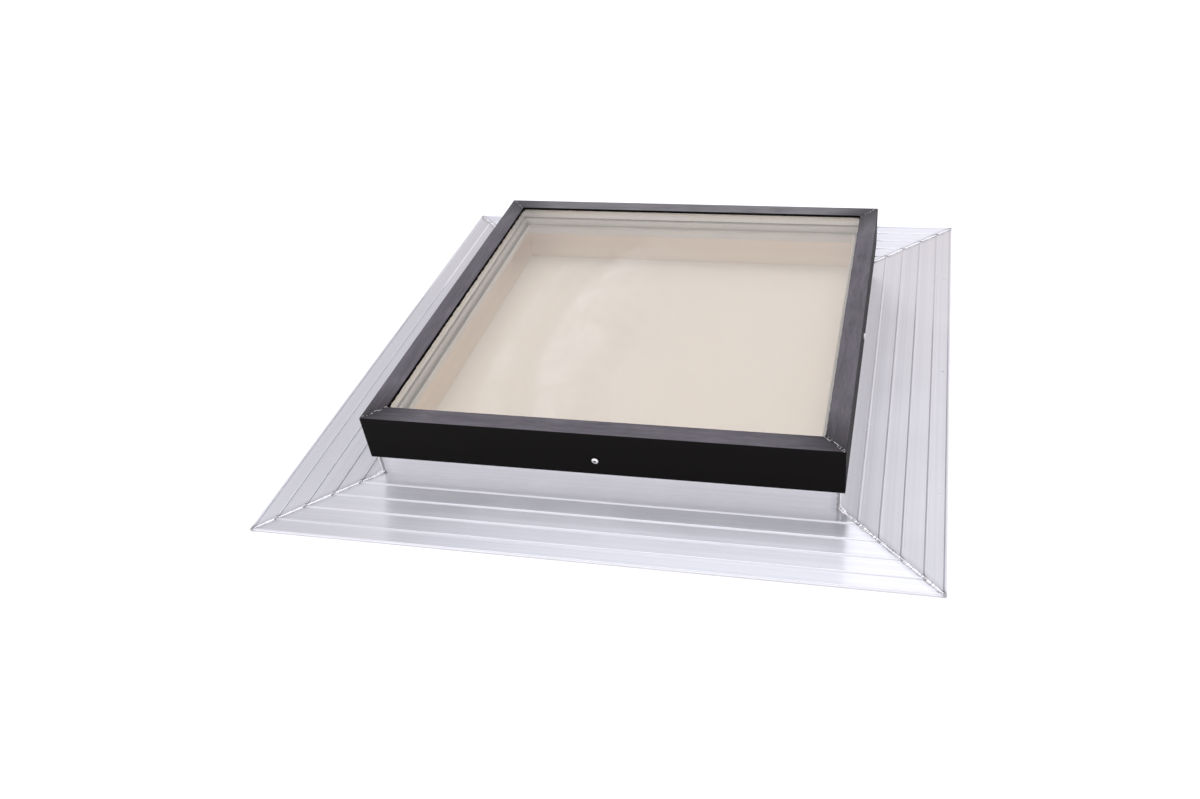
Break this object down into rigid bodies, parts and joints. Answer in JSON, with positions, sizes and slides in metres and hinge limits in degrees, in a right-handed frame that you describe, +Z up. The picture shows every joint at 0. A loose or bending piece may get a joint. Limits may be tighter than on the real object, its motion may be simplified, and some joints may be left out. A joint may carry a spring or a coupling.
{
  "type": "roof skylight",
  "caption": "Fixed square roof skylight: flat double glazing under a dark mitred cap frame, on a hollow aluminium curb with a wide ribbed flashing flange.",
  "frame": {"origin": "middle of the flange's flat underside", "axes": "+Z up out of the roof; -Y towards the front side; the four sides face +X, -X, +Y and -Y"},
  "size_m": [0.912, 0.912, 0.1034],
  "materials": {
    "mill_aluminium": "mill, lightly brushed along each length",
    "bronze_cap": "satin dark bronze powder coat on aluminium",
    "grey_vinyl": "satin light grey rigid vinyl",
    "seat_foam": "matte light grey foam tape",
    "glazing_foam": "matte black foam tape",
    "spacer_aluminium": "satin, with a fine perforated seam",
    "clear_glass": "clear float",
    "bronze_glass": "light bronze tint",
    "edge_sealant": "matte black sealant",
    "screw_steel": "bright, satin"
  },
  "bodies": {
    "root": {"curb_front": "mill_aluminium", "curb_back": "mill_aluminium", "curb_left": "mill_aluminium", "curb_right": "mill_aluminium", "cap_front": "bronze_cap", "cap_back": "bronze_cap", "cap_left": "bronze_cap", "cap_right": "bronze_cap", "liner_front": "grey_vinyl", "liner_back": "grey_vinyl", "liner_left": "grey_vinyl", "liner_right": "grey_vinyl", "seat_tape_front": "seat_foam", "seat_tape_back": "seat_foam", "seat_tape_left": "seat_foam", "seat_tape_right": "seat_foam", "glazing_tape_front": "glazing_foam", "glazing_tape_back": "glazing_foam", "glazing_tape_left": "glazing_foam", "glazing_tape_right": "glazing_foam", "spacer_front": "spacer_aluminium", "spacer_back": "spacer_aluminium", "spacer_left": "spacer_aluminium", "spacer_right": "spacer_aluminium", "outer_pane": "clear_glass", "inner_pane": "bronze_glass", "edge_seal": "edge_sealant", "screw_front": "screw_steel", "screw_back": "screw_steel", "screw_left": "screw_steel", "screw_right": "screw_steel"}
  },
  "joints": []
}
